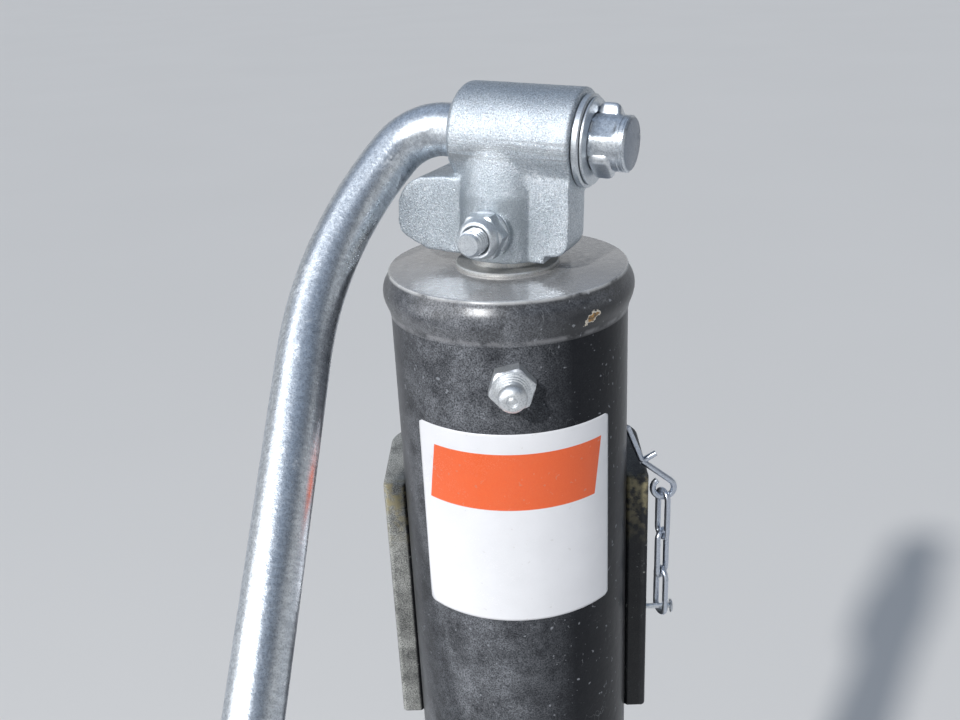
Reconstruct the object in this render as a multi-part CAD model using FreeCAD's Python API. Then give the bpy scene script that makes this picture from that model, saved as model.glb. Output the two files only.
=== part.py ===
import FreeCAD, Part
import math
import os

# Round top-wind trailer jack: a welded outer tube with a cap, a turning crank head with
# a fold-over handle, a leg tube with a foot plate, and a saddle for the trailer's frame.
# Millimetres. +Z is up along the tube and +Y points from the tube towards the trailer.
# The origin is the centre of the saddle's flat back face.

# Outer tube and saddle
tube_od = 57.15
tube_wall = 3.0
tube_length = 400.0
saddle_wall = 6.0
saddle_fit = 0.2
saddle_height = 75.0
saddle_drop = 59.6
saddle_lip_y = 0.5
saddle_corner = 9.0
saddle_inner_corner = 3.0
saddle_edge_round = 1.2

# Pressed cap, half-section corners as (distance out from the tube, depth under its flat top)
cap_section = [(-0.575, 0.0), (0.625, 0.9), (1.525, 4.6), (0.125, 10.6)]
cap_plate = 4.0
cap_fit = 0.1

# Grease fitting on the front of the tube
fitting_drop = 19.4
fitting_flats = 9.5
fitting_hex_height = 3.6
fitting_nipple = [(2.5, 0.0), (3.3, 3.6), (3.3, 4.6), (1.6, 5.8)]
fitting_shank_radius = 3.0
fitting_turn = 12.0

# Thrust washer between cap and crank head
collar_radius = 12.4
collar_height = 0.9
collar_boss_radius = 8.4
collar_boss_height = 2.5
running_gap = 0.3

# Crank head casting, in its own frame: barrel along X, front at -Y, z over the cap
head_yaw = 24.4
head_tilt = 2.1
column_radius = 11.5
neck_start = 18.0
barrel_back = 2.15
barrel_height = 29.85
barrel_radius = 11.6
barrel_left = 11.6
barrel_right = 18.0
barrel_left_edge = [(1.2, 0.0), (0.0, 1.2)]
barrel_right_edge = 0.5
wing_front = 7.6
wing_back = 11.6
left_wing = [(0.0, 22.4), (-25.1, 19.8), (-25.1, 6.6), (-17.4, 3.2), (0.0, 3.2)]
left_top_round = 8.5
left_foot_round = 4.0
right_wing_top = 24.0
right_wing_foot = 5.0
right_foot_round = 4.0
right_back_round = 11.0
skirt_half = 12.3

# Cross bolt through the head's column, on a raised pad at each side
bolt_height = 10.1
bolt_radius = 3.0
bolt_hole_gap = 0.1
bolt_reach = 21.5
bolt_chamfer = 0.7
bolt_head_height = 4.0
pad_radius = 5.6
pad_front = 11.3
pad_back = 12.4
bolt_washer_radius = 5.4
bolt_washer = 0.8
nut_flats = 9.7
nut_hex_height = 3.5
nut_dome = [(4.8, 0.0), (4.1, 2.1)]
nut_turn = 5.0

# Fold-over handle, hanging along -Z from the barrel's axis before it leans
bar_radius = 6.2
bar_run_gap = 0.3
bar_right = 28.9
bar_left = 16.4
bar_end_chamfer = 0.6
elbow_radius = 12.3
elbow_turn = 66.6
sweep_radius = 86.5
sweep_turn = 36.6
arm_length = 95.0
wrist_radius = 16.0
wrist_turn = 90.0
grip_pin_length = 92.9
handle_lean = 43.2

# Washers, swaged ears and pressed flats that hold the handle in the barrel
washer_radii = (10.3, 9.6)
washer_thicks = (1.6, 0.6)
washer_gap = 0.15
ear_start = 20.6
ear_length = 4.8
ear_half_width = 3.7
ear_reach = 7.9
ear_round = 1.6
flat_start = 20.8
flat_end = 25.6
flat_run_out = 1.0
flat_depth = 0.5

# Grip sleeve on the handle's end
grip_radius = 13.0
grip_length = 92.0
grip_flange_radius = 16.0
grip_flange = 4.0
grip_cap_radius = 9.5
grip_cap_thick = 2.0
grip_cap_gap = 0.1

# Leg and foot
leg_gap = 0.3
leg_wall = 3.0
leg_length = 355.0
leg_out = 116.0
foot_length = 130.0
foot_width = 114.0
foot_thick = 4.0
foot_flange = 9.0
foot_corner = 14.0
foot_bend = 2.0

# Spring clip over the saddle's right wall, (x, z) steps from its bend
wire_radius = 0.8
wire_sides = 8
clip_plane_y = 4.0
clip_bend_in = 1.5
clip_tail = (-3.9, 10.0)
clip_tip = (3.6, 2.2)
clip_arm_length = 9.55
clip_arm_fall = 38.4
clip_ring_radius = 2.8
clip_ring_step = 28.5
clip_ring_steps = 10

# Keeper chain from the clip's ring to a stud on the saddle
link_straight = 9.6
link_radius = 2.2
link_gap = 0.22
link_step = 45.0
link_turns = (25.0, -40.0, 25.0)
stud_pin_radius = 0.7
stud_pin_end = 6.8
stud_head = (1.9, 0.8)

tube_r = tube_od / 2
saddle_inner = tube_r + saddle_fit
saddle_outer = saddle_inner + saddle_wall
axis_y = -saddle_outer
deck_z = saddle_drop + saddle_height / 2
tube_top_z = deck_z - cap_plate
tube_bottom_z = tube_top_z - tube_length
saddle_top_z = deck_z - saddle_drop
saddle_bottom_z = saddle_top_z - saddle_height
leg_r = tube_r - tube_wall - leg_gap
foot_top_z = tube_bottom_z - leg_out
head_bottom = collar_boss_height + running_gap + collar_boss_radius * math.sin(math.radians(head_tilt))

X = FreeCAD.Vector(1, 0, 0)
Y = FreeCAD.Vector(0, 1, 0)
Z = FreeCAD.Vector(0, 0, 1)
AXIS = FreeCAD.Vector(0, axis_y, 0)
ORIGIN = FreeCAD.Vector(0, 0, 0)


def vec(x, y, z):
    return FreeCAD.Vector(x, y, z)


def rod(radius, length, base, direction):
    return Part.makeCylinder(radius, length, base, direction)


def revolved(section, base, direction):
    """Closed outline of (radius, height) corners turned about a direction from base."""
    points = [vec(r, 0, h) for r, h in section]
    solid = Part.Face(Part.makePolygon(points + points[:1])).revolve(ORIGIN, Z, 360)
    solid.Placement = FreeCAD.Placement(base, FreeCAD.Rotation(Z, direction))
    return solid


def hexagon(flats, height, base, direction, turn=0.0):
    corner = X * (flats / math.sqrt(3))
    points = [FreeCAD.Rotation(Z, turn + 60 * i).multVec(corner) for i in range(7)]
    solid = Part.Face(Part.makePolygon(points)).extrude(Z * height)
    solid.Placement = FreeCAD.Placement(base, FreeCAD.Rotation(Z, direction))
    return solid


def slab(corners, front, back):
    """Outline of (x, z) corners, extruded from y = front to y = back."""
    points = [vec(x, front, z) for x, z in corners]
    return Part.Face(Part.makePolygon(points + points[:1])).extrude(Y * (back - front))


def rounded(shape, radius, chosen):
    return shape.makeFillet(radius, [e for e in shape.Edges if chosen(e)])


def runs_along(edge, direction):
    tangent = edge.tangentAt(edge.FirstParameter)
    return abs(abs(tangent.dot(direction)) - 1) < 1e-6


def stands_at(edge, x, z):
    """True for an edge that runs front to back through the outline's corner (x, z)."""
    middle = edge.CenterOfMass
    return runs_along(edge, Y) and math.hypot(middle.x - x, middle.z - z) < running_gap


class Track:
    """Path of straight runs and tangent arcs, with a heading that each arc turns."""

    def __init__(self, start, heading):
        self.point = start
        self.heading = heading.normalize()
        self.edges = []

    def run(self, length):
        end = self.point + self.heading * length
        self.edges.append(Part.makeLine(self.point, end))
        self.point = end

    def turn(self, towards, radius, angle):
        side = (towards - self.heading * towards.dot(self.heading)).normalize()
        centre = self.point + side * radius

        def at(degrees):
            a = math.radians(degrees)
            return centre - side * radius * math.cos(a) + self.heading * radius * math.sin(a)

        self.edges.append(Part.Arc(self.point, at(angle / 2), at(angle)).toShape())
        a = math.radians(angle)
        self.point, self.heading = at(angle), self.heading * math.cos(a) + side * math.sin(a)


def swept(edges, radius):
    """Round bar of one radius along joined lines and arcs."""
    start = edges[0].valueAt(edges[0].FirstParameter)
    heading = edges[0].tangentAt(edges[0].FirstParameter)
    ring = Part.Wire(Part.makeCircle(radius, start, heading))
    return Part.Wire(edges).makePipeShell([ring], True, False)


def wire_along(points, normal):
    """Thin wire of many flats through points that lie in the plane of the normal."""
    start = points[0]
    heading = (points[1] - start).normalize()
    side = heading.cross(normal).normalize()
    ring = []
    for i in range(wire_sides + 1):
        a = 2 * math.pi * i / wire_sides
        ring.append(start + side * wire_radius * math.cos(a) + normal * wire_radius * math.sin(a))
    path = Part.makePolygon(points)
    return path.makePipeShell([Part.makePolygon(ring)], True, False, 1)


def seat_head(shape):
    """From the head's own frame to its place on the cap."""
    shape.rotate(ORIGIN, Y, head_tilt)
    shape.rotate(ORIGIN, Z, -head_yaw)
    shape.translate(AXIS + Z * deck_z)
    return shape


def seat_handle(shape):
    """From hanging straight down about the barrel's axis to leaning on the left wing."""
    shape.rotate(ORIGIN, X, -handle_lean)
    shape.translate(vec(0, barrel_back, barrel_height))
    return seat_head(shape)


def make_outer_tube():
    foot = AXIS + Z * tube_bottom_z
    tube = rod(tube_r, tube_length, foot, Z).cut(rod(tube_r - tube_wall, tube_length, foot, Z))
    return tube.cut(rod(fitting_shank_radius + cap_fit, tube_r, AXIS + Z * (deck_z - fitting_drop), -Y))


def make_end_cap():
    inner = tube_r + cap_fit
    outside = [(tube_r + out, -depth) for out, depth in cap_section]
    inside = [(inner, outside[-1][1]), (inner, -cap_plate), (0, -cap_plate), (0, 0)]
    return revolved(outside + inside, AXIS + Z * deck_z, Z)


def make_grease_fitting():
    base = AXIS + Z * (deck_z - fitting_drop) - Y * tube_r
    body = hexagon(fitting_flats, fitting_hex_height, base, -Y, fitting_turn)
    shank = rod(fitting_shank_radius, tube_wall, base + Y * tube_wall, -Y)
    nipple = revolved([(0, 0)] + fitting_nipple + [(0, fitting_nipple[-1][1])],
                      base - Y * fitting_hex_height, -Y)
    return body.fuse([shank, nipple]).removeSplitter()


def make_saddle():
    lip = axis_y + saddle_lip_y
    outer = Part.makeBox(2 * saddle_outer, -lip, saddle_height, vec(-saddle_outer, lip, saddle_bottom_z))
    outer = rounded(outer, saddle_corner, lambda e: runs_along(e, Z) and e.CenterOfMass.y > lip / 2)
    inner = Part.makeBox(2 * saddle_inner, -lip, saddle_height,
                         vec(-saddle_inner, lip - saddle_wall, saddle_bottom_z))
    inner = rounded(inner, saddle_inner_corner, lambda e: runs_along(e, Z) and e.CenterOfMass.y > lip)
    saddle = outer.cut(inner)
    return rounded(saddle, saddle_edge_round,
                   lambda e: runs_along(e, Z) and e.CenterOfMass.y < lip + running_gap)


def make_thrust_collar():
    section = [(0, 0), (collar_radius, 0), (collar_radius, collar_height),
               (collar_boss_radius, collar_height), (collar_boss_radius, collar_boss_height),
               (0, collar_boss_height)]
    return revolved(section, AXIS + Z * deck_z, Z)


def make_left_wing():
    wing = slab(left_wing, -wing_front, wing_back)
    top, foot = left_wing[1], left_wing[2]
    wing = rounded(wing, left_top_round, lambda e: stands_at(e, *top))
    return rounded(wing, left_foot_round, lambda e: stands_at(e, *foot))


def make_right_wing():
    corners = [(0, right_wing_top), (barrel_right, right_wing_top), (barrel_right, right_wing_foot),
               (0, right_wing_foot)]
    wing = slab(corners, -wing_front, wing_back)
    wing = rounded(wing, right_back_round,
                   lambda e: runs_along(e, Z) and e.CenterOfMass.x > skirt_half and e.CenterOfMass.y > 0)
    return rounded(wing, right_foot_round, lambda e: stands_at(e, barrel_right, right_wing_foot))


def make_barrel():
    length = barrel_left + barrel_right
    section = [(barrel_radius - inset, along) for inset, along in barrel_left_edge]
    section += [(barrel_radius, length - barrel_right_edge), (barrel_radius - barrel_right_edge, length)]
    return revolved([(0, 0)] + section + [(0, length)], vec(-barrel_left, barrel_back, barrel_height), X)


def make_head():
    column = rod(column_radius, neck_start - head_bottom, Z * head_bottom, Z)
    rim = Part.Wire(Part.makeCircle(column_radius, Z * neck_start, Z))
    neck = Part.Face(rim).extrude(vec(0, barrel_back, barrel_height - neck_start))
    skirt_top = right_wing_foot + right_foot_round
    skirt = Part.makeBox(2 * skirt_half, wing_front + wing_back, skirt_top - head_bottom,
                         vec(-skirt_half, -wing_front, head_bottom))
    pad = rod(pad_radius, pad_front + pad_back, vec(0, pad_back, bolt_height), -Y)
    pieces = [neck, make_barrel(), skirt, make_left_wing(), make_right_wing(), pad]
    head = column.fuse(pieces).removeSplitter()
    bore = rod(bar_radius + bar_run_gap, barrel_left + barrel_right,
               vec(-barrel_left, barrel_back, barrel_height), X)
    bolt_hole = rod(bolt_radius + bolt_hole_gap, pad_front + pad_back, vec(0, pad_back, bolt_height), -Y)
    spot_face = rod(pad_radius, column_radius, vec(0, -pad_front, bolt_height), -Y)
    return seat_head(head.cut([bore, bolt_hole, spot_face]))


def make_bolt():
    seat = vec(0, pad_back, bolt_height)
    head = hexagon(nut_flats, bolt_head_height, seat, Y)
    tip = pad_back + bolt_reach
    shank = revolved([(0, 0), (bolt_radius, 0), (bolt_radius, tip - bolt_chamfer),
                      (bolt_radius - bolt_chamfer, tip), (0, tip)], seat, -Y)
    return seat_head(head.fuse(shank).removeSplitter())


def make_nut():
    base = vec(0, -pad_front, bolt_height)
    seat = base - Y * bolt_washer
    top = seat - Y * nut_hex_height
    washer = rod(bolt_washer_radius, bolt_washer, base, -Y)
    body = hexagon(nut_flats, nut_hex_height, seat, -Y, nut_turn)
    dome = revolved([(0, 0)] + nut_dome + [(0, nut_dome[-1][1])], top, -Y)
    thread = rod(bolt_radius + bolt_hole_gap, bolt_reach, base, -Y)
    return seat_head(body.fuse([washer, dome]).cut(thread))


def handle_track():
    track = Track(vec(bar_right, 0, 0), -X)
    track.run(bar_right + bar_left)
    track.turn(-Z, elbow_radius, elbow_turn)
    track.turn(-Z, sweep_radius, sweep_turn)
    track.run(arm_length)
    track.turn(-Y, wrist_radius, wrist_turn)
    return track


def make_handle():
    track = handle_track()
    track.run(grip_pin_length)
    bar = swept(track.edges, bar_radius)
    bar = bar.makeChamfer(bar_end_chamfer, [max(bar.Edges, key=lambda e: e.BoundBox.XMin)])
    inside, outside = bar_radius - flat_depth, bar_radius + flat_depth
    for side in (-1, 1):
        corners = [(flat_start, inside), (flat_end, inside), (flat_end + flat_run_out, outside),
                   (flat_start, outside)]
        points = [vec(x, side * y, -bar_radius) for x, y in corners]
        bar = bar.cut(Part.Face(Part.makePolygon(points + points[:1])).extrude(Z * 2 * bar_radius))
    ears = Part.makeBox(ear_length, 2 * ear_half_width, 2 * ear_reach,
                        vec(ear_start, -ear_half_width, -ear_reach))
    ears = rounded(ears, ear_round, lambda e: not runs_along(e, Z))
    return seat_handle(bar.fuse(ears).removeSplitter())


def make_washers():
    gap = bar_radius + bar_run_gap
    start = barrel_right + washer_gap
    rings = []
    for radius, thick in zip(washer_radii, washer_thicks):
        ring = rod(radius, thick, X * start, X)
        rings.append(ring.cut(rod(gap, thick, X * start, X)))
        start += thick + washer_gap
    return seat_handle(Part.makeCompound(rings))


def make_grip():
    start = handle_track().point - Y * running_gap
    sleeve = rod(grip_radius, grip_length, start, -Y)
    flange = rod(grip_flange_radius, grip_flange, start, -Y)
    bore = rod(bar_radius + bar_run_gap, grip_length, start, -Y)
    return seat_handle(sleeve.fuse(flange).removeSplitter().cut(bore))


def make_grip_cap():
    start = handle_track().point - Y * (grip_pin_length + grip_cap_gap)
    return seat_handle(rod(grip_cap_radius, grip_cap_thick, start, -Y))


def make_leg_tube():
    foot = AXIS + Z * foot_top_z
    return rod(leg_r, leg_length, foot, Z).cut(rod(leg_r - leg_wall, leg_length, foot, Z))


def make_foot():
    low = foot_top_z - foot_thick
    left, front = -foot_width / 2, axis_y - foot_length / 2
    plate = Part.makeBox(foot_width, foot_length, foot_thick, vec(left, front, low))
    plate = rounded(plate, foot_corner, lambda e: runs_along(e, Z))
    flanges = [Part.makeBox(foot_thick, foot_length - 2 * foot_corner, foot_flange,
                            vec(x, front + foot_corner, low)) for x in (left, -left - foot_thick)]
    foot = plate.fuse(flanges).removeSplitter()
    bends = [e for e in foot.Edges if runs_along(e, Y) and e.CenterOfMass.z < low + running_gap]
    return foot.makeChamfer(foot_bend, bends)


def make_clip():
    fall = math.radians(clip_arm_fall)
    rise = (wire_radius + running_gap + clip_bend_in * math.sin(fall)) / math.cos(fall)
    bend = vec(saddle_outer - clip_bend_in, axis_y + clip_plane_y, saddle_top_z + rise)
    tail = bend + vec(clip_tail[0], 0, clip_tail[1])
    tip = bend + vec(clip_tip[0], 0, clip_tip[1])
    arm_end = bend + vec(math.cos(fall), 0, -math.sin(fall)) * clip_arm_length
    centre = arm_end - vec(math.sin(fall), 0, math.cos(fall)) * clip_ring_radius
    spoke = arm_end - centre
    loop = [bend]
    for i in range(clip_ring_steps + 1):
        loop.append(centre + FreeCAD.Rotation(Y, clip_ring_step * i).multVec(spoke))
    return wire_along([tail, bend, tip], Y).fuse(wire_along(loop, Y)), centre - Z * clip_ring_radius


def make_link(top, turn):
    """Welded chain link under the middle of its upper bow, turned about Z from facing +X."""
    normal = vec(math.cos(math.radians(turn)), math.sin(math.radians(turn)), 0)
    side = Z.cross(normal)
    upper = top - Z * link_radius
    points = []
    for sign, centre in ((1, upper), (-1, upper - Z * link_straight)):
        for i in range(round(math.pi / math.radians(link_step)) + 1):
            a = math.radians(link_step * i)
            spoke = side * math.cos(a) + Z * math.sin(a)
            points.append(centre + spoke * sign * link_radius)
    return wire_along(points + points[:1], normal)


def make_chain(low):
    """Links that hang from the lowest point of the clip's ring, and the last one's lowest point."""
    links = []
    for turn in link_turns:
        top = low + Z * (2 * wire_radius + link_gap)
        links.append(make_link(top, turn))
        low = top - Z * (2 * link_radius + link_straight)
    return Part.makeCompound(links), low


def make_stud(low):
    """Headed pin from the saddle's side through the lower bow of the last link."""
    height = low.z + wire_radius + stud_pin_radius + link_gap
    head_radius, head_thick = stud_head
    section = [(0, 0), (stud_pin_radius, 0), (stud_pin_radius, stud_pin_end), (head_radius, stud_pin_end),
               (head_radius, stud_pin_end + head_thick), (0, stud_pin_end + head_thick)]
    return revolved(section, vec(saddle_outer, low.y, height), X)


def build():
    clip, ring_low = make_clip()
    chain, chain_low = make_chain(ring_low)
    return {
        "outer_tube": make_outer_tube(),
        "end_cap": make_end_cap(),
        "grease_fitting": make_grease_fitting(),
        "saddle_bracket": make_saddle(),
        "thrust_collar": make_thrust_collar(),
        "head_casting": make_head(),
        "head_bolt": make_bolt(),
        "head_nut": make_nut(),
        "handle_bar": make_handle(),
        "handle_washers": make_washers(),
        "handle_grip": make_grip(),
        "grip_cap": make_grip_cap(),
        "leg_tube": make_leg_tube(),
        "foot_plate": make_foot(),
        "spring_clip": clip,
        "keeper_chain": chain,
        "chain_stud": make_stud(chain_low),
    }


os.makedirs("parts", exist_ok=True)
for node, shape in build().items():
    shape.exportStep("parts/" + node + ".step")
    print(node, len(shape.Solids), "solids", round(shape.Volume / 1000, 2), "cm3", shape.isValid())
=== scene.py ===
import bpy
import bmesh
import math
from mathutils import Matrix, Vector, noise


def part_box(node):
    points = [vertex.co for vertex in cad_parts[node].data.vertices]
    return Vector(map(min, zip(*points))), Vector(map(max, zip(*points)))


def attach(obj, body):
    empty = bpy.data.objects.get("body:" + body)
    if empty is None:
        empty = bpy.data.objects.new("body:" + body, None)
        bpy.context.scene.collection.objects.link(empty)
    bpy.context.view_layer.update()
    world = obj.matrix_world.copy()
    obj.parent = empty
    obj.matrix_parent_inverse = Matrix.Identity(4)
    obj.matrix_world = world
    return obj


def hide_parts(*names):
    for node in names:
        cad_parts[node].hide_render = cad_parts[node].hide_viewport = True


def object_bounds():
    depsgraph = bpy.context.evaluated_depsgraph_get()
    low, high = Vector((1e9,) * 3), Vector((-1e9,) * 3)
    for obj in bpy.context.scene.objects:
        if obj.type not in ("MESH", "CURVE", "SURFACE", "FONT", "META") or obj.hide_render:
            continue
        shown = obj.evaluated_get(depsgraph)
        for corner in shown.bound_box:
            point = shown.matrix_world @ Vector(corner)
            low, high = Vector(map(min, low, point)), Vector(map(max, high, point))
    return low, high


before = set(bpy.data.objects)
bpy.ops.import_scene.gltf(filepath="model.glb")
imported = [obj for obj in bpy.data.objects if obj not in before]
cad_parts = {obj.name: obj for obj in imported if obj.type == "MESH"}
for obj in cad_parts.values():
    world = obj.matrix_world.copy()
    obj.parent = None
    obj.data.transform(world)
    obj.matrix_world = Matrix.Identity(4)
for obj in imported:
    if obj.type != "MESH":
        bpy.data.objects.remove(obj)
cad_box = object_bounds()

# The camera stands in front of the crank, above the cap, and looks down along the tube.
# Its place and lens were worked out from the tube's two edges and the square label.
MM = 0.001
camera_place = Vector((0.0, -272.44, 170.62)) * MM
camera_down = math.radians(22.52)
camera_aside = math.radians(1.86)
camera_roll = math.radians(-2.80)
photo_width = 960
focal_px = 1038.1
sensor_width = 36.0
near_clip = 0.01

ahead = Vector((
    -math.sin(camera_aside) * math.cos(camera_down),
    math.cos(camera_aside) * math.cos(camera_down),
    -math.sin(camera_down),
))
level_right = Vector((math.cos(camera_aside), math.sin(camera_aside), 0.0))
level_up = level_right.cross(ahead)
right = level_right * math.cos(camera_roll) + level_up * math.sin(camera_roll)
up = level_up * math.cos(camera_roll) - level_right * math.sin(camera_roll)
camera_axes = Matrix((right, up, -ahead)).transposed().to_4x4()

camera_data = bpy.data.cameras.new("camera")
camera_data.sensor_width = sensor_width
camera_data.lens = focal_px / photo_width * sensor_width
camera_data.clip_start = near_clip
camera = bpy.data.objects.new("camera", camera_data)
camera.matrix_world = Matrix.Translation(camera_place) @ camera_axes
bpy.context.scene.collection.objects.link(camera)
bpy.context.scene.camera = camera
bpy.context.scene.view_settings.view_transform = "Standard"

# The floor is a plain pale sheet, wide enough to fill the view, that keeps the jack's shadow.
# The jack hangs by its saddle, so the floor lies where its foot gets to with the leg wound out.
floor_half = 40000.0
leg_reach = 142.3
floor_level = cad_box[0][2] / MM - leg_reach
floor_tones = (0.71, 0.69, 0.66)
floor_clouding = 0.03
floor_waves = 1.5


def add(tree, kind, inputs=None, **settings):
    """A shader node with its settings, and each input set to a number or joined to a socket."""
    made = tree.nodes.new(kind)
    for key, value in settings.items():
        setattr(made, key, value)
    for key, value in (inputs or {}).items():
        if isinstance(value, bpy.types.NodeSocket):
            tree.links.new(value, made.inputs[key])
        else:
            made.inputs[key].default_value = value
    return made


def surface_place(tree):
    """Where on the jack a point of the surface lies, in metres."""
    return add(tree, "ShaderNodeTexCoord").outputs["Object"]


def ranged(tree, value, low, high, to_low=0.0, to_high=1.0):
    """A value carried from one span to another, and held at the span's ends."""
    return add(tree, "ShaderNodeMapRange", {"Value": value, "From Min": low, "From Max": high,
                                            "To Min": to_low, "To Max": to_high}).outputs[0]


def waves(tree, place_on, scale, detail=2.0, roughness=0.5):
    """Noise of so many waves to the metre."""
    return add(tree, "ShaderNodeTexNoise", {"Vector": place_on, "Scale": scale, "Detail": detail,
                                            "Roughness": roughness}).outputs["Fac"]


def colour_of(tree, parts):
    names = ("Red", "Green", "Blue")
    return add(tree, "ShaderNodeCombineColor", dict(zip(names, parts))).outputs[0]


def finish_of(name, **surface):
    """A material with one plain Principled surface, and its node tree."""
    material = bpy.data.materials.new(name)
    material.use_nodes = True
    tree = material.node_tree
    shader = tree.nodes["Principled BSDF"]
    for key, value in surface.items():
        shader.inputs[key.replace("_", " ")].default_value = value
    return material, tree, shader


def give(tree, shader, **looks):
    """Joins a colour or value that changes over the surface to the shader's input of that name."""
    for key, socket in looks.items():
        tree.links.new(socket, shader.inputs[key.replace("_", " ")])


def placed(name, mesh):
    """An object of the scene that shows the mesh."""
    piece = bpy.data.objects.new(name, mesh)
    bpy.context.scene.collection.objects.link(piece)
    return piece


def solid_of(name, points, faces, place=Matrix(), sharp=35.0):
    """A mesh object from points in millimetres, moved to its place on the jack."""
    mesh = bpy.data.meshes.new(name)
    mesh.from_pydata([(place @ Vector(p)) * MM for p in points], [], faces)
    mesh.validate()
    mesh.shade_smooth()
    mesh.set_sharp_from_angle(angle=math.radians(sharp))
    return placed(name, mesh)


floor_corners = [(x * floor_half, y * floor_half, floor_level)
                 for x, y in ((-1, -1), (1, -1), (1, 1), (-1, 1))]
floor = solid_of("floor", floor_corners, [(0, 1, 2, 3)])
floor_finish, tree, shader = finish_of("floor_paint", Roughness=0.9)
cloud = waves(tree, surface_place(tree), floor_waves, 3.0)
shades = [ranged(tree, cloud, 0.0, 1.0, tone, tone + floor_clouding) for tone in floor_tones]
give(tree, shader, Base_Color=colour_of(tree, shades))
floor.data.materials.append(floor_finish)

# A clear lamp stands at the left in front, above the jack, with a soft strip beside it. The room
# is cool overhead and dim lower down, so that bright metal has both to mirror. The camera and the
# metal see a pale wall low down.
dim_below, bright_above = 0.28, 1.0
lit_left, lit_right = 1.0, 0.5
low_hue, high_hue = (0.38, 0.40, 0.43), (0.35, 0.43, 0.56)
wall_top = (0.28, 0.42)
wall_colour = (0.52, 0.53, 0.54)
lamp_place, lamp_energy, lamp_softness = (-500, -866, 675), 2.6, math.radians(3)
strip_place, strip_aim, strip_energy = (-900, -350, 500), (0, 0, 80), 4.5
strip_size = (0.6, 1.2)


def math_of(tree, operation, a, b=0.0, clamp=False):
    made = add(tree, "ShaderNodeMath", {0: a, 1: b}, operation=operation, use_clamp=clamp)
    return made.outputs[0]


def product(tree, *factors):
    """The factors, numbers or sockets, multiplied one after another."""
    result = factors[0]
    for factor in factors[1:]:
        result = math_of(tree, "MULTIPLY", result, factor)
    return result


def ramp(tree, mask, low, high):
    """A colour or number that goes from low to high with a mask."""
    if isinstance(low, float):
        return add(tree, "ShaderNodeMix", {"Factor": mask, "A": low, "B": high}).outputs["Result"]
    mix = add(tree, "ShaderNodeMix", data_type="RGBA")
    for socket, value in (("Factor", mask), ("A", low), ("B", high)):
        found = [s for s in mix.inputs if s.name == socket and s.enabled][0]
        if isinstance(value, bpy.types.NodeSocket):
            tree.links.new(value, found)
        else:
            found.default_value = value if socket == "Factor" else (*value, 1.0)
    return [s for s in mix.outputs if s.enabled][0]


def parts_of(tree, vector):
    return add(tree, "ShaderNodeSeparateXYZ", {"Vector": vector}).outputs


world = bpy.data.worlds.new("studio")
bpy.context.scene.world = world
world.use_nodes = True
tree = world.node_tree
ways = parts_of(tree, add(tree, "ShaderNodeTexCoord").outputs["Generated"])
overhead = ranged(tree, ways["Z"], 0.0, 0.8, dim_below, bright_above)
level = product(tree, overhead, ranged(tree, ways["X"], -0.3, 0.8, lit_left, lit_right))
room = colour_of(tree, [product(tree, level, ranged(tree, ways["Z"], 0.1, 0.8, low, high))
                        for low, high in zip(low_hue, high_hue)])
rays = add(tree, "ShaderNodeLightPath").outputs
seen = math_of(tree, "ADD", rays["Is Camera Ray"], rays["Is Glossy Ray"])
seen = math_of(tree, "ADD", seen, rays["Is Transmission Ray"], True)
wall = product(tree, seen, ranged(tree, ways["Z"], *wall_top, 1.0, 0.0))
tree.links.new(ramp(tree, wall, room, wall_colour), tree.nodes["Background"].inputs["Color"])


def lamp(name, kind, place, aim, **settings):
    data = bpy.data.lights.new(name, kind)
    for key, value in settings.items():
        setattr(data, key, value)
    made = bpy.data.objects.new(name, data)
    made.location = Vector(place) * MM
    made.rotation_euler = (Vector(aim) - Vector(place)).to_track_quat("-Z", "Y").to_euler()
    bpy.context.scene.collection.objects.link(made)


lamp("key", "SUN", lamp_place, (0, 0, 0), energy=lamp_energy, angle=lamp_softness)
lamp("left_strip", "AREA", strip_place, strip_aim, energy=strip_energy, shape="RECTANGLE",
     size=strip_size[0], size_y=strip_size[1])

# The outer tube is drawn steel tube with a black powder coat, cut square at both ends.
# The coat is glossy with a fine orange peel. Road dust lies on it, painted thicker on the side
# the lamp lights and thinner in shade, and it has fine scratches.
tube_wall, tube_bevel = 3.0, 0.4
# The level way to the lamp: dust is painted thicker on faces turned this way, as painted light.
lamp_facing_side = (-0.50, -0.866, 0.0)
coat_black, scratch_grey = (0.007, 0.008, 0.011), (0.22, 0.23, 0.24)
coat_dust = (0.365, 0.38, 0.41)
coat_rough, dust_rough = 0.28, 0.75
peel_waves, peel_depth = 420.0, 0.05


def tube_size(node):
    """An upright tube's radius, the heights of its foot and top, and its axis's Y, in mm."""
    low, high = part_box(node)
    return (high.x - low.x) / 2 / MM, low.z / MM, high.z / MM, (low.y + high.y) / 2 / MM


tube_radius, tube_foot, tube_top, axis_y = tube_size("outer_tube")
on_axis = Matrix.Translation((0, axis_y, 0))


def turned(name, outline, place, steps=160, sharp=35.0, closed=True):
    """A piece turned on a lathe from (radius, height) corners, along the place's Z."""
    points, faces = [], []
    for radius, height in outline:
        if radius == 0:
            points.append((0, 0, height))
            continue
        for i in range(steps):
            a = 2 * math.pi * i / steps
            points.append((radius * math.cos(a), radius * math.sin(a), height))
    starts, n = [], 0
    for radius, _ in outline:
        starts.append(n)
        n += 1 if radius == 0 else steps
    pairs = list(zip(range(len(outline)), list(range(1, len(outline))) + [0]))
    for a, b in pairs if closed else pairs[:-1]:
        for i in range(steps):
            j = (i + 1) % steps
            ring_a = [starts[a]] if outline[a][0] == 0 else [starts[a] + i, starts[a] + j]
            ring_b = [starts[b]] if outline[b][0] == 0 else [starts[b] + j, starts[b] + i]
            if len(ring_a) + len(ring_b) > 2:
                faces.append(ring_a + ring_b)
    return solid_of(name, points, faces, place, sharp)


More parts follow.
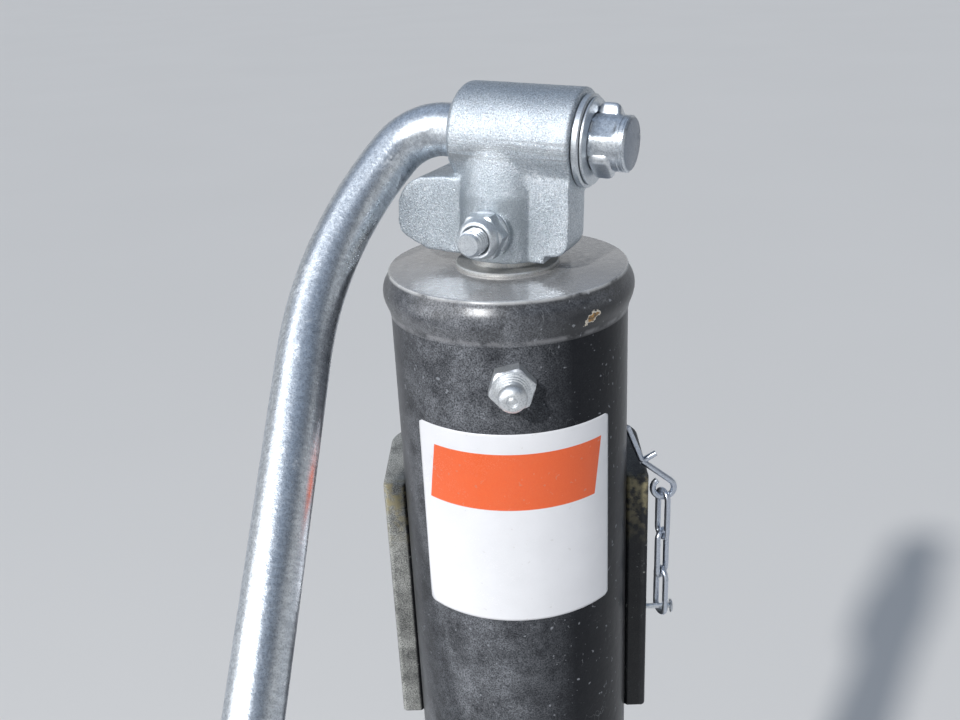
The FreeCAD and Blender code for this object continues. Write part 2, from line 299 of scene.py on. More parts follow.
def effect(name, inputs):
    """An empty shader node group with named inputs, its nodes' ends, and a mask to put out."""
    group = bpy.data.node_groups.new(name, "ShaderNodeTree")
    for label, kind, value in inputs:
        socket = group.interface.new_socket(label, in_out="INPUT", socket_type="NodeSocket" + kind)
        if value is not None:
            socket.default_value = value
    group.interface.new_socket("Mask", in_out="OUTPUT", socket_type="NodeSocketFloat")
    ends = group.nodes.new("NodeGroupInput").outputs, group.nodes.new("NodeGroupOutput").inputs
    return group, *ends


def blotch(tree, place_on, scale, low, high, detail=4.0, roughness=0.6):
    """Noise of so many waves to the metre, spread to 0 and 1 between two of its levels."""
    return ranged(tree, waves(tree, place_on, scale, detail, roughness), low, high)


def vector_of(tree, operation, a, b):
    return add(tree, "ShaderNodeVectorMath", {0: a, 1: b}, operation=operation).outputs[0]


def along(tree, vector, way):
    """How far a vector goes along a way."""
    return add(tree, "ShaderNodeVectorMath", {0: vector, 1: way},
               operation="DOT_PRODUCT").outputs["Value"]


def facing(tree):
    return add(tree, "ShaderNodeNewGeometry").outputs["Normal"]


# Dust lies thick on upward faces and in fine specks. On upright faces it is painted thick where
# they turn to the lamp at the front left and thin elsewhere, as painted light and shade.
dust_and_lit_side, dust_and_lit_side_in, dust_and_lit_side_out = effect("road_dust_and_lit_side", [
    ("Place", "Vector", None), ("Upright", "Float", 0.2), ("Lying", "Float", 0.6),
    ("Specks", "Float", 0.5)])
lies = ranged(dust_and_lit_side, parts_of(dust_and_lit_side, facing(dust_and_lit_side))["Z"], 0.05, 0.9)
# Upright faces turned to the lamp get more dust, as painted light, and those turned away less, as
# painted shade.
painted_lit_side = ranged(dust_and_lit_side, along(dust_and_lit_side, facing(dust_and_lit_side), lamp_facing_side), 0.52, 0.97, 0.06, 1.35)
upright = product(dust_and_lit_side, dust_and_lit_side_in["Upright"], painted_lit_side)
amount = add(dust_and_lit_side, "ShaderNodeMix", {"Factor": lies, "A": upright,
                                     "B": dust_and_lit_side_in["Lying"]}).outputs["Result"]
cloudy = product(dust_and_lit_side, blotch(dust_and_lit_side, dust_and_lit_side_in["Place"], 130.0, 0.36, 0.66, 7.0, 0.78), 0.75)
grain = product(dust_and_lit_side, blotch(dust_and_lit_side, dust_and_lit_side_in["Place"], 2800.0, 0.36, 0.62, 3.0), 0.8)
film = product(dust_and_lit_side, math_of(dust_and_lit_side, "ADD", cloudy, 0.25), math_of(dust_and_lit_side, "ADD", grain, 0.2), amount)
speck = product(dust_and_lit_side, blotch(dust_and_lit_side, dust_and_lit_side_in["Place"], 700.0, 0.70, 0.76, 1.0), dust_and_lit_side_in["Specks"])
dust_and_lit_side.links.new(math_of(dust_and_lit_side, "MAXIMUM", film, speck, True), dust_and_lit_side_out["Mask"])

# Scratches are thin pale lines that run with the way a piece was handled.
scratch, scratch_in, scratch_out = effect("scratches", [
    ("Place", "Vector", None), ("Stretch", "Vector", (1.0, 1.0, 1.0)), ("Amount", "Float", 0.5)])
drawn_out = vector_of(scratch, "MULTIPLY", scratch_in["Place"], scratch_in["Stretch"])
level = math_of(scratch, "SUBTRACT", waves(scratch, drawn_out, 1.0, 2.0, 0.4), 0.5)
line = ranged(scratch, math_of(scratch, "ABSOLUTE", level), 0.0, 0.012, 1.0, 0.0)
line = product(scratch, line, blotch(scratch, scratch_in["Place"], 120.0, 0.55, 0.7))
scratch.links.new(math_of(scratch, "MULTIPLY", line, scratch_in["Amount"], True),
                  scratch_out["Mask"])


def mask_of(tree, group, **inputs):
    """The mask of a shared effect, placed with this material's own values."""
    return add(tree, "ShaderNodeGroup", inputs, node_tree=group).outputs[0]


def raised(tree, shader, height, distance):
    """Bumps on the surface, so many millimetres high."""
    bump = add(tree, "ShaderNodeBump", {"Height": height, "Distance": distance * MM})
    give(tree, shader, Normal=bump.outputs["Normal"])


def black_coat(name, upright, lying, specks, gloss, dusted=coat_dust):
    """Glossy black powder coat under dust. A pair of dust amounts paints the left and the right
    apart, as painted light and shade.
    """
    material, tree, shader = finish_of(name, Metallic=0.0, Specular_IOR_Level=gloss)
    place_on = surface_place(tree)
    if isinstance(upright, tuple):
        # A pair of amounts paints a lit left and a shaded right, as painted light and shade.
        across = parts_of(tree, place_on)["X"]
        upright, lying = [ranged(tree, across, -0.03, 0.03, left, right)
                          for left, right in (upright, lying)]
    mask = mask_of(tree, dust_and_lit_side, Place=place_on, Upright=upright, Lying=lying, Specks=specks)
    marks = mask_of(tree, scratch, Place=place_on, Stretch=(420.0, 420.0, 260.0), Amount=0.8)
    colour = ramp(tree, mask, ramp(tree, marks, coat_black, scratch_grey), dusted)
    give(tree, shader, Base_Color=colour, Roughness=ramp(tree, mask, coat_rough, dust_rough))
    raised(tree, shader, waves(tree, place_on, peel_waves, 1.0), peel_depth)
    return material, tree, shader, place_on, colour


tube_outline = [
    (tube_radius - tube_wall, tube_foot + tube_bevel),
    (tube_radius - tube_wall + tube_bevel, tube_foot), (tube_radius - tube_bevel, tube_foot),
    (tube_radius, tube_foot + tube_bevel), (tube_radius, tube_top),
    (tube_radius - tube_wall, tube_top)]
tube = turned("tube_shell", tube_outline, on_axis, 256)
tube_coat = black_coat("tube_coat", upright=0.50, lying=0.8, specks=0.6, gloss=0.15)[0]
tube.data.materials.append(tube_coat)
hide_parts("outer_tube")
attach(tube, "root")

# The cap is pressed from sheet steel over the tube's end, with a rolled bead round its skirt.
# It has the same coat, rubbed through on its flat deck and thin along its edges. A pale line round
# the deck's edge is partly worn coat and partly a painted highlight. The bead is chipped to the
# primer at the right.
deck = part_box("end_cap")[1].z / MM
on_deck = Matrix.Translation((0, axis_y, deck))
cap_outline = [
    (0, 0), (28.0, 0), (28.3, -0.08), (28.5, -0.3), (28.62, -0.7), (28.75, -1.2), (28.95, -1.7),
    (29.3, -2.3), (29.7, -3.05), (29.97, -3.9), (30.1, -4.8), (30.06, -5.8), (29.8, -6.9),
    (29.4, -8.0), (29.0, -9.0), (28.8, -9.9), (28.68, -10.6), (28.675, -10.6), (28.675, -4.0),
    (0, -4.0)]
bare_steel, rim_wear_and_highlight_steel, hem_grey = (0.66, 0.65, 0.64), (0.80, 0.80, 0.79), (0.26, 0.26, 0.27)
rim_radius, hem_drop = 28.42, 9.7
chip_turn, chip_radius, chip_drop = math.radians(37.2), 30.1, 6.0
chip_lean, chip_length, chip_depth = 0.45, 0.48, 0.1
primer_tan, primer_brown = (0.42, 0.22, 0.05), (0.10, 0.07, 0.04)
chip_rim = (0.66, 0.60, 0.50)

cap = turned("cap_shell", cap_outline, on_deck, 256, 50.0)
cap_finish, tree, shader, place_on, colour = black_coat(
    "cap_coat", upright=0.60, lying=0.7, specks=0.6, gloss=0.6)
level = ranged(tree, parts_of(tree, facing(tree))["Z"], 0.55, 0.85)
grit = blotch(tree, vector_of(tree, "MULTIPLY", place_on, (0.25, 1.6, 1.0)), 2400.0, 0.36, 0.60,
              5.0, 0.7)
rubbed = product(tree, level, math_of(tree, "ADD", product(tree, grit, 0.5), 0.5))
colour = ramp(tree, rubbed, colour, bare_steel)
give(tree, shader, Metallic=ramp(tree, rubbed, 0.0, 0.8), Roughness=ramp(tree, rubbed, 0.32, 0.20))


def length_of(tree, vector):
    return add(tree, "ShaderNodeVectorMath", {0: vector}, operation="LENGTH").outputs["Value"]


def near(tree, value, middle, inner, outer, full):
    """A mask that is full within a first distance of the middle and gone beyond a second."""
    off = math_of(tree, "ABSOLUTE", math_of(tree, "SUBTRACT", value, middle))
    return ranged(tree, off, inner, outer, full, 0.0)


height = parts_of(tree, place_on)["Z"]
from_axis = vector_of(tree, "SUBTRACT", place_on, Vector((0, axis_y, 0)) * MM)
radius = length_of(tree, vector_of(tree, "MULTIPLY", from_axis, (1.0, 1.0, 0.0)))
# A pale line round the deck's edge: worn coat and a painted highlight.
rim_wear_and_highlight = product(tree, near(tree, radius, rim_radius * MM, 0.00008, 0.00034, 0.5),
              ranged(tree, height, (deck - 1.0) * MM, (deck - 0.6) * MM),
              blotch(tree, place_on, 140.0, 0.34, 0.52))
hem = product(tree, near(tree, height, (deck - hem_drop) * MM, 0.0002, 0.0008, 0.55),
              blotch(tree, place_on, 260.0, 0.38, 0.58))
colour = ramp(tree, hem, ramp(tree, rim_wear_and_highlight, colour, rim_wear_and_highlight_steel), hem_grey)

chip_out = Vector((math.sin(chip_turn), -math.cos(chip_turn), 0.0))
chip_side = Vector((math.cos(chip_turn), math.sin(chip_turn), 0.0))
chip_middle = Vector((0, axis_y, deck - chip_drop)) + chip_out * chip_radius
from_chip = vector_of(tree, "SUBTRACT", place_on, chip_middle * MM)
sideways = along(tree, from_chip, chip_side)
rise = math_of(tree, "SUBTRACT", parts_of(tree, from_chip)["Z"],
               product(tree, sideways, chip_lean))
spread = add(tree, "ShaderNodeCombineXYZ", {
    "X": product(tree, sideways, chip_length), "Y": rise,
    "Z": product(tree, along(tree, from_chip, chip_out), chip_depth)}).outputs[0]
jagged = product(tree, math_of(tree, "SUBTRACT", waves(tree, place_on, 900.0, 4.0), 0.5), 0.0024)
away = math_of(tree, "ADD", length_of(tree, spread), jagged)
primer = ramp(tree, blotch(tree, place_on, 1400.0, 0.4, 0.6), primer_tan, primer_brown)
colour = ramp(tree, ranged(tree, away, 0.00118, 0.00108), colour, chip_rim)
give(tree, shader, Base_Color=ramp(tree, ranged(tree, away, 0.00088, 0.00070), colour, primer))
cap.data.materials.append(cap_finish)
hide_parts("end_cap")
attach(cap, "root")

# The grease fitting is a zinc-plated steel nipple with a hexagon, screwed into the tube's front.
# Its sealing ball shows in the tip, and the neck behind the tip takes the grease gun.
fitting_drop, fitting_flats, fitting_thick, fitting_turn = 19.4, 9.5, 3.6, 12.0
fitting_outline = [
    (0, 3.4), (4.0, 3.4), (4.0, 3.85), (3.7, 3.95), (3.6, 4.3), (3.3, 4.4), (3.2, 4.7),
    (2.9, 4.8), (2.75, 5.3), (2.85, 5.9), (3.1, 6.5), (3.2, 7.0), (3.2, 7.8), (2.95, 8.5),
    (2.45, 9.0), (1.9, 9.3), (1.4, 9.38), (1.28, 9.1), (1.05, 9.02), (0.9, 9.15), (0.5, 9.32),
    (0, 9.37)]
zinc_shade, zinc_dark, zinc_light = (0.36, 0.40, 0.46), (0.16, 0.18, 0.21), (0.93, 0.95, 0.97)
drawn_grey, scuff_white, mark_white = (0.30, 0.33, 0.37), (0.90, 0.92, 0.94), (0.88, 0.89, 0.90)
zinc_grime = (0.42, 0.40, 0.36)


def tipped(degrees, axis):
    return Matrix.Rotation(math.radians(degrees), 4, axis)


def hexed(name, flats, thick, place, turn=0.0):
    """A hexagon with its corners cut back to a cone at the outer end."""
    steps, cut, cone = 96, 0.97, 1 / math.tan(math.radians(30))
    heights = [0.0] + [thick - drop for drop in (1.4, 1.05, 0.7, 0.35, 0.0)]
    points, faces = [], []
    for h in heights:
        for i in range(steps):
            a = 2 * math.pi * i / steps
            flat = flats / 2 / math.cos(a % (math.pi / 3) - math.pi / 6)
            r = min(flat, flats / 2 * cut + (thick - h) * cone)
            b = a + math.radians(turn)
            points.append((r * math.cos(b), r * math.sin(b), h))
    for k in range(len(heights) - 1):
        for i in range(steps):
            j = (i + 1) % steps
            faces.append((k * steps + i, k * steps + j, (k + 1) * steps + j, (k + 1) * steps + i))
    faces.append(tuple(range(steps))[::-1])
    faces.append(tuple(range((len(heights) - 1) * steps, len(heights) * steps)))
    return solid_of(name, points, faces, place, 25.0)


def joined(name, *pieces):
    """Pieces that are one part of the real thing, joined to one object."""
    shell = bmesh.new()
    for piece in pieces:
        shell.from_mesh(piece.data)
    mesh = bpy.data.meshes.new(name)
    shell.to_mesh(mesh)
    for piece in pieces:
        bpy.data.objects.remove(piece)
    return placed(name, mesh)


def lines_along(tree, place_on, way, hold, scale, low, high):
    """Fine lines that run along a way, drawn out the more the nearer hold is to 1."""
    run = product(tree, along(tree, place_on, way), hold)
    back = add(tree, "ShaderNodeVectorMath", {0: way, "Scale": run}, operation="SCALE").outputs[0]
    return blotch(tree, vector_of(tree, "SUBTRACT", place_on, back), scale, low, high, 3.0)


def zinc(name, colour, rough, grain, grain_depth, cloudy=0.4, tint=zinc_shade, fleck=0.25,
         drawn=None, way=(260.0, 260.0, 60.0)):
    """Zinc plate: bluish metal, mottled and flecked, with its grain and the lines of drawing."""
    material, tree, shader = finish_of(name, Metallic=1.0)
    place_on = surface_place(tree)
    cloud = product(tree, blotch(tree, place_on, 160.0, 0.35, 0.68, 5.0), 0.5)
    spangle = product(tree, blotch(tree, place_on, 900.0, 0.35, 0.65, 2.0), 0.5)
    mottled = product(tree, math_of(tree, "ADD", cloud, spangle), cloudy)
    dark = product(tree, blotch(tree, place_on, 2900.0, 0.50, 0.62, 2.0), fleck)
    light = product(tree, blotch(tree, place_on, 3100.0, 0.52, 0.62, 2.0), fleck)
    shade = ramp(tree, dark, ramp(tree, mottled, colour, tint), zinc_dark)
    shade = ramp(tree, light, shade, zinc_light)
    pits = waves(tree, place_on, grain, 4.0, 0.65)
    if drawn:
        lines = lines_along(tree, place_on, drawn, 0.975, 1100.0, 0.38, 0.62)
        shade = ramp(tree, product(tree, lines, 0.45), shade, drawn_grey)
        pits = math_of(tree, "ADD", pits, product(tree, lines, 0.8))
    scuffs = product(tree, blotch(tree, place_on, 60.0, 0.56, 0.68, 6.0),
                     blotch(tree, place_on, 1500.0, 0.44, 0.58, 3.0))
    shade = ramp(tree, product(tree, scuffs, 0.7), shade, scuff_white)
    marks = mask_of(tree, scratch, Place=place_on, Stretch=way, Amount=0.7)
    shade = ramp(tree, marks, shade, mark_white)
    grime = mask_of(tree, dust_and_lit_side, Place=place_on, Upright=0.05, Lying=0.22, Specks=0.15)
    dulled = product(tree, math_of(tree, "ADD", grime, scuffs), 0.3)
    dull = math_of(tree, "ADD", ramp(tree, mottled, rough, rough + 0.14), dulled, True)
    give(tree, shader, Base_Color=ramp(tree, grime, shade, zinc_grime), Roughness=dull,
         Metallic=ramp(tree, grime, 1.0, 0.3))
    raised(tree, shader, pits, grain_depth)
    return material, tree, shader, place_on


at_front = Matrix.Translation((0, axis_y - tube_radius, deck - fitting_drop)) @ tipped(90, "X")
fitting = joined("grease_nipple",
                 hexed("fitting_hex", fitting_flats, fitting_thick, at_front, fitting_turn),
                 turned("fitting_tip", fitting_outline, at_front, 64, 30.0, closed=False))
fitting_zinc = zinc("fitting_zinc", (0.84, 0.86, 0.87), rough=0.42, grain=1800.0,
                    grain_depth=0.02, cloudy=0.35, fleck=0.3)[0]
fitting.data.materials.append(fitting_zinc)
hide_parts("grease_fitting")
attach(fitting, "root")

# The thrust washer is turned steel, zinc plated and dull with old grease. It lies on the cap,
# and the crank head turns on the boss in its middle.
collar_outline = [(0, 0), (12.3, 0), (12.4, 0.15), (12.4, 0.65), (12.1, 0.9), (8.6, 0.9),
                  (8.4, 1.05), (8.4, 2.4), (8.2, 2.5), (0, 2.5)]
collar = turned("thrust_washer", collar_outline, on_deck, 128)
collar_zinc = zinc("collar_zinc", (0.70, 0.69, 0.66), rough=0.52, grain=1400.0,
                   grain_depth=0.04)[0]
collar.data.materials.append(collar_zinc)
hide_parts("thrust_collar")
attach(collar, "root")

# The saddle is a bent steel plate that wraps the back of the tube, coated black like it. Dust is
# painted thick on its lit left and thin on its right, which lies in the tube's shade, as painted
# light and shade. It is tacked to the tube at its front lips, and rust stains it there.
saddle_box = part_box("saddle_bracket")
saddle_ease, same_point, same_plane = 0.8, 0.001, math.radians(1.0)
saddle_dust, rust = (0.37, 0.375, 0.355), (0.30, 0.26, 0.15)
tack_drop, tack_spread, lip_depth = 3.0, 0.018, 3.0


def eased(name, node, width):
    """A node's own shape with its hard edges eased, as they are on formed steel."""
    hard, still_sharp = math.radians(28), math.radians(35)
    shell = bmesh.new()
    shell.from_mesh(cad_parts[node].data)
    bmesh.ops.remove_doubles(shell, verts=shell.verts, dist=same_point * MM)
    bmesh.ops.dissolve_limit(shell, angle_limit=same_plane, verts=shell.verts, edges=shell.edges)
    edges = [e for e in shell.edges if len(e.link_faces) == 2 and e.calc_face_angle(0) > hard]
    bmesh.ops.bevel(shell, geom=edges, offset=width * MM, segments=3, profile=0.6,
                    affect="EDGES", clamp_overlap=True)
    mesh = bpy.data.meshes.new(name)
    shell.to_mesh(mesh)
    mesh.shade_smooth()
    mesh.set_sharp_from_angle(angle=still_sharp)
    return placed(name, mesh)


saddle = eased("saddle_plate", "saddle_bracket", saddle_ease)
# Thick dust on the left and thin on the right are painted light and painted shade.
saddle_finish, tree, shader, place_on, colour = black_coat(
    "saddle_coat", upright=(1.25, 0.08), lying=(1.9, 0.5), specks=0.5, gloss=0.3,
    dusted=saddle_dust)
parts = parts_of(tree, place_on)
near_tack = near(tree, parts["Z"], saddle_box[1].z - tack_drop * MM, 0.0, tack_spread, 1.0)
at_lip = ranged(tree, parts["Y"], saddle_box[0].y + lip_depth * MM, saddle_box[0].y)
stain = product(tree, near_tack, at_lip, blotch(tree, place_on, 420.0, 0.44, 0.62, 5.0))
give(tree, shader, Base_Color=ramp(tree, stain, colour, rust))
saddle.data.materials.append(saddle_finish)
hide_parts("saddle_bracket")
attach(saddle, "root")

# The crank head is cast iron, zinc plated over its sand-cast skin: a column with a cross
# barrel for the handle, a wing at each side and a pad for the cross bolt. Its barrel was ground
# along the front. Round the bolt the column is painted darker, as painted shade and some grease.
head_yaw, head_tilt = 24.4, 2.1
barrel_back, barrel_height, barrel_radius, column_radius = 2.15, 29.85, 11.6, 11.5
on_head = on_deck @ tipped(-head_yaw, "Z") @ tipped(head_tilt, "Y")
skin_step = 0.36
lean_start, corner_foot, corner_reach, corner_fade = 18.0, 13.0, 2.6, 1.3
cast_grey, cast_shade = (0.57, 0.63, 0.68), (0.33, 0.38, 0.44)
ground_grey, nut_shade_and_grease_grey = (0.34, 0.36, 0.38), (0.30, 0.34, 0.37)
ground_height = 28.4
nut_middle = Vector((0, -11.3, 11.5))

shell = bmesh.new()
shell.from_mesh(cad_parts["head_casting"].data)
bmesh.ops.remove_doubles(shell, verts=shell.verts, dist=same_point * MM)
rough_cast = bpy.data.meshes.new("rough_cast")
shell.to_mesh(rough_cast)
head = placed("head_skin", rough_cast)
remesh = head.modifiers.new("skin", "REMESH")
remesh.mode = "VOXEL"
remesh.voxel_size = skin_step * MM


def settled(piece):
    """Works the piece's modifiers into its mesh."""
    graph = bpy.context.evaluated_depsgraph_get()
    made = bpy.data.meshes.new_from_object(piece.evaluated_get(graph))
    piece.modifiers.clear()
    piece.data = made


settled(head)
to_head = on_head.inverted()
corner = head.vertex_groups.new(name="neck_corner")
for vertex in head.data.vertices:
    p = to_head @ (vertex.co / MM)
    lean = max(0.0, (p.z - lean_start) / (barrel_height - lean_start)) * barrel_back
    off_column = abs(math.hypot(p.x, p.y - lean) - column_radius)
    off_barrel = abs(math.hypot(p.y - barrel_back, p.z - barrel_height) - barrel_radius)
    off = max(off_column, off_barrel)
    if p.z > corner_foot and off < corner_reach:
        corner.add([vertex.index], min(1.0, (corner_reach - off) / corner_fade), "REPLACE")
soften = head.modifiers.new("neck", "SMOOTH")
soften.vertex_group = "neck_corner"
soften.factor = 0.5
soften.iterations = 30
ease = head.modifiers.new("edges", "SMOOTH")
ease.factor = 0.5
ease.iterations = 3
settled(head)
head.data.shade_smooth()

cast_zinc, tree, shader, place_on = zinc(
    "cast_zinc", cast_grey, rough=0.38, grain=3300.0, grain_depth=0.18, cloudy=0.5,
    tint=cast_shade, fleck=0.55, way=(90.0, 90.0, 1100.0))
barrel_way = (on_head.to_3x3() @ Vector((1, 0, 0))).normalized()
ground = lines_along(tree, place_on, barrel_way, 0.97, 1700.0, 0.42, 0.62)
band = near(tree, parts_of(tree, place_on)["Z"], (deck + ground_height) * MM, 0.0015, 0.0042, 0.75)
shade = shader.inputs["Base Color"].links[0].from_socket
shade = ramp(tree, product(tree, ground, band), shade, ground_grey)
# Painted shade, with some grease, darkens the column round the nut.
from_nut = vector_of(tree, "SUBTRACT", place_on, (on_head @ nut_middle) * MM)
shade_and_grease_round_nut = product(tree, ranged(tree, length_of(tree, from_nut), 0.008, 0.017, 0.7, 0.0),
                  blotch(tree, place_on, 240.0, 0.25, 0.55))
give(tree, shader, Base_Color=ramp(tree, shade_and_grease_round_nut, shade, nut_shade_and_grease_grey))
head.data.materials.clear()
head.data.materials.append(cast_zinc)
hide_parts("head_casting")
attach(head, "crank_head")

# A cross bolt holds the head to the screw's end. It is a zinc-plated steel bolt whose thread
# stands out of a flange nut with a locking ring, at the front.
bolt_height, pad_front, pad_back, bolt_reach, bolt_radius = 10.1, 11.3, 12.4, 21.5, 3.0
shank_radius, bolt_flats, bolt_head_thick = 2.95, 9.7, 4.0
thread_pitch, thread_depth, thread_steps, thread_rise = 1.0, 0.52, 72, 0.1
lead_in, lead_slope = 0.9, 0.85
nut_thick, nut_turn, flange_thick = 3.5, 5.0, 0.8
flange_outline = [(3.1, 0), (5.25, 0), (5.4, 0.15), (5.4, 0.6), (5.2, 0.8), (3.1, 0.8)]
ring_outline = [(3.15, 4.1), (4.8, 4.1), (4.8, 4.7), (4.65, 5.4), (4.3, 6.0), (3.9, 6.35),
                (3.5, 6.4), (3.2, 6.2)]
across = on_head @ Matrix.Translation((0, 0, bolt_height)) @ tipped(90, "X")
satin_zinc = zinc("satin_zinc", (0.72, 0.76, 0.79), rough=0.36, grain=1400.0,
                  grain_depth=0.03)[0]


def threaded(name, start, end, radius, place):
    """The end of a bolt with its thread cut round it, and a small lead-in at the tip."""
    points, faces, n = [], [], thread_steps
    rows = int((end - start) / thread_rise) + 1
    for k in range(rows):
        h = start + thread_rise * k
        tip = max(0.0, h - (end - lead_in))
        for i in range(n):
            a = 2 * math.pi * i / n
            phase = (h / thread_pitch - i / n) % 1.0
            groove = max(0.0, min(1.0, 1.25 - abs(phase - 0.5) * 3.4))
            r = min(radius - thread_depth * groove, radius - lead_slope * tip)
            points.append((r * math.cos(a), r * math.sin(a), h))
    for k in range(rows - 1):
        for i in range(n):
            j = (i + 1) % n
            faces.append((k * n + i, k * n + j, (k + 1) * n + j, (k + 1) * n + i))
    faces.append(tuple(range((rows - 1) * n, rows * n)))
    return solid_of(name, points, faces, place, 40.0)


bolt_tip = threaded("bolt_tip", pad_front, bolt_reach, bolt_radius, across)
shank_outline = [(0, -pad_back), (shank_radius, -pad_back), (shank_radius, pad_front + 0.2)]
shank = turned("bolt_shank", shank_outline, across, 48, closed=False)
at_back = across @ Matrix.Translation((0, 0, -pad_back)) @ tipped(180, "X")
bolt_head = hexed("bolt_head", bolt_flats, bolt_head_thick, at_back)
bolt = joined("cross_bolt", bolt_tip, shank, bolt_head)
bolt.data.materials.append(satin_zinc)
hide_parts("head_bolt")
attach(bolt, "crank_head")

on_pad = across @ Matrix.Translation((0, 0, pad_front))
nut_washer = turned("nut_washer", flange_outline, on_pad, 96)
on_flange = on_pad @ Matrix.Translation((0, 0, flange_thick))
nut_body = hexed("nut_body", bolt_flats, nut_thick, on_flange, nut_turn)
nut_ring = turned("nut_ring", ring_outline, on_pad, 96)
nut = joined("lock_nut", nut_washer, nut_body, nut_ring)
nut.data.materials.append(satin_zinc)
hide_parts("head_nut")
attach(nut, "crank_head")

# The handle is one steel bar, bent cold and zinc plated. It turns in the head's barrel, and its
# end is upset into two ears beside two washers, so that it can't draw out.
handle_lean = -43.2
on_handle = on_head @ Matrix.Translation((0, barrel_back, barrel_height)) @ tipped(handle_lean, "X")
bar_radius, bar_sides, bar_tip = 6.2, 64, 28.9
# (place along the bar, how much thinner it is there), from the sheared tip to the barrel
bar_end = [
    (bar_tip, 0.75), (28.86, 0.6), (28.72, 0.42), (28.3, 0.0), (28.2, 0.0), (28.1, 0.12),
    (27.98, 0.12), (27.88, 0.0), (27.25, 0.0), (27.15, 0.1), (27.05, 0.1), (26.95, 0.0),
    (26.6, 0.0), (26.2, 0.0), (25.8, 0.0), (25.4, 0.0), (24.0, 0.0), (22.0, 0.0), (21.2, 0.0),
    (20.9, 0.0), (20.6, 0.0), (19.0, 0.0), (10.0, 0.0), (0.0, 0.0), (-10.0, 0.0)]
pressed_from, pressed_to, pressed_fade, pressed_flat, fade_slope = 20.7, 26.5, 25.7, 5.7, 0.6
elbow_start = -16.4
arm_length, grip_pin = 95.0, 92.9
# (way it bends, radius, degrees, steps, straight run after it): elbow, sweep and wrist
bends = [((0, 0, -1), 12.3, 66.6, 28, 0.0), ((0, 0, -1), 86.5, 36.6, 28, arm_length),
         ((0, -1, 0), 16.0, 90.0, 24, grip_pin)]
bar_white, bar_shade, sheared_grey = (0.84, 0.89, 0.94), (0.46, 0.52, 0.59), (0.20, 0.23, 0.28)


def ring_on(point, heading, side, radius, sides):
    """A ring of points round a line that runs through the point."""
    over = heading.cross(side)
    return [point + (side * math.cos(a) + over * math.sin(a)) * radius
            for a in (2 * math.pi * i / sides for i in range(sides))]


def skinned(name, rings, place, closed=False, sharp=35.0):
    """A skin over rings of equally many points, closed over its ends or into a loop."""
    sides = len(rings[0])
    points = [p for ring in rings for p in ring]
    faces = []
    for k in range(len(rings) if closed else len(rings) - 1):
        a, b = k * sides, (k + 1) % len(rings) * sides
        for i in range(sides):
            j = (i + 1) % sides
            faces.append((a + i, a + j, b + j, b + i))
    if not closed:
        faces.append(tuple(range(sides))[::-1])
        faces.append(tuple(range((len(rings) - 1) * sides, len(rings) * sides)))
    return solid_of(name, points, faces, place, sharp)


heading, side = Vector((-1, 0, 0)), Vector((0, 1, 0))
rings = [ring_on(Vector((x, 0, 0)), heading, side, bar_radius - less, bar_sides)
         for x, less in bar_end]
for ring in rings:
    for p in ring:
        if pressed_from < p.x < pressed_to:
            flat = pressed_flat + max(0.0, p.x - pressed_fade) * fade_slope
            p.y = max(-flat, min(flat, p.y))
point = Vector((elbow_start, 0, 0))
rings.append(ring_on(point, heading, side, bar_radius, bar_sides))
for towards, radius, turn, steps, run in bends:
    towards = Vector(towards)
    inward = (towards - heading * towards.dot(heading)).normalized()
    centre = point + inward * radius
    hinge = heading.cross(inward)
    for k in range(1, steps + 1):
        bent = Matrix.Rotation(math.radians(turn) * k / steps, 3, hinge)
        rings.append(ring_on(centre - bent @ inward * radius, bent @ heading, bent @ side,
                             bar_radius, bar_sides))
    point, heading, side = centre - bent @ inward * radius, bent @ heading, bent @ side
    if run:
        for part in (0.25, 0.5, 0.75, 1.0):
            rings.append(ring_on(point + heading * run * part, heading, side,
                                 bar_radius, bar_sides))
        point = point + heading * run
grip_end = point.copy()
pin_way = (on_handle.to_3x3() @ heading).normalized()
bar = skinned("crank_bar", rings, on_handle)
bar_zinc, tree, shader, place_on = zinc(
    "bar_zinc", bar_white, rough=0.26, grain=3000.0, grain_depth=0.016, tint=bar_shade,
    fleck=0.4, drawn=pin_way)
bar_way = (on_handle.to_3x3() @ Vector((1, 0, 0))).normalized()
bar_face = (on_handle @ Vector((bar_tip, 0, 0))) * MM
past_end = along(tree, vector_of(tree, "SUBTRACT", place_on, bar_face), bar_way)
sheared = ranged(tree, past_end, -0.00035, -0.00005, 0.0, 0.85)
plated = shader.inputs["Base Color"].links[0].from_socket
give(tree, shader, Base_Color=ramp(tree, sheared, plated, sheared_grey))
bar.data.materials.append(bar_zinc)
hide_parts("handle_bar")
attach(bar, "handle")

# (distance from the bar's axis, half length along it, half width) of an upset ear, going out
ear_rows = [(4.4, 3.2, 3.8), (6.2, 2.8, 3.75), (6.8, 2.6, 3.7), (7.2, 2.3, 3.5),
            (7.45, 1.9, 3.2), (7.6, 1.4, 2.7)]
ear_middle, ear_points, ear_squareness, ear_shear, low_ear = 23.0, 48, 0.45, 0.36, 0.89
ear_rings = []
for height, long, wide in ear_rows:
    ring = []
    for k in range(ear_points):
        a = 2 * math.pi * k / ear_points
        c, d = [math.copysign(abs(v) ** ear_squareness, v) for v in (math.cos(a), math.sin(a))]
        ring.append(Vector((ear_middle + long * c,
                            wide * d - ear_shear * (height - ear_rows[0][0]), height)))
    ear_rings.append(ring)
under = [[Vector((p.x, -p.y, -p.z * low_ear)) for p in ring] for ring in ear_rings]
ears = joined("pressed_ears", skinned("upper_ear", ear_rings, on_handle),
              skinned("lower_ear", under, on_handle))
bright_zinc = zinc("bright_zinc", (0.76, 0.79, 0.82), rough=0.27, grain=900.0,
                   grain_depth=0.02)[0]
ears.data.materials.append(bright_zinc)
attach(ears, "handle")

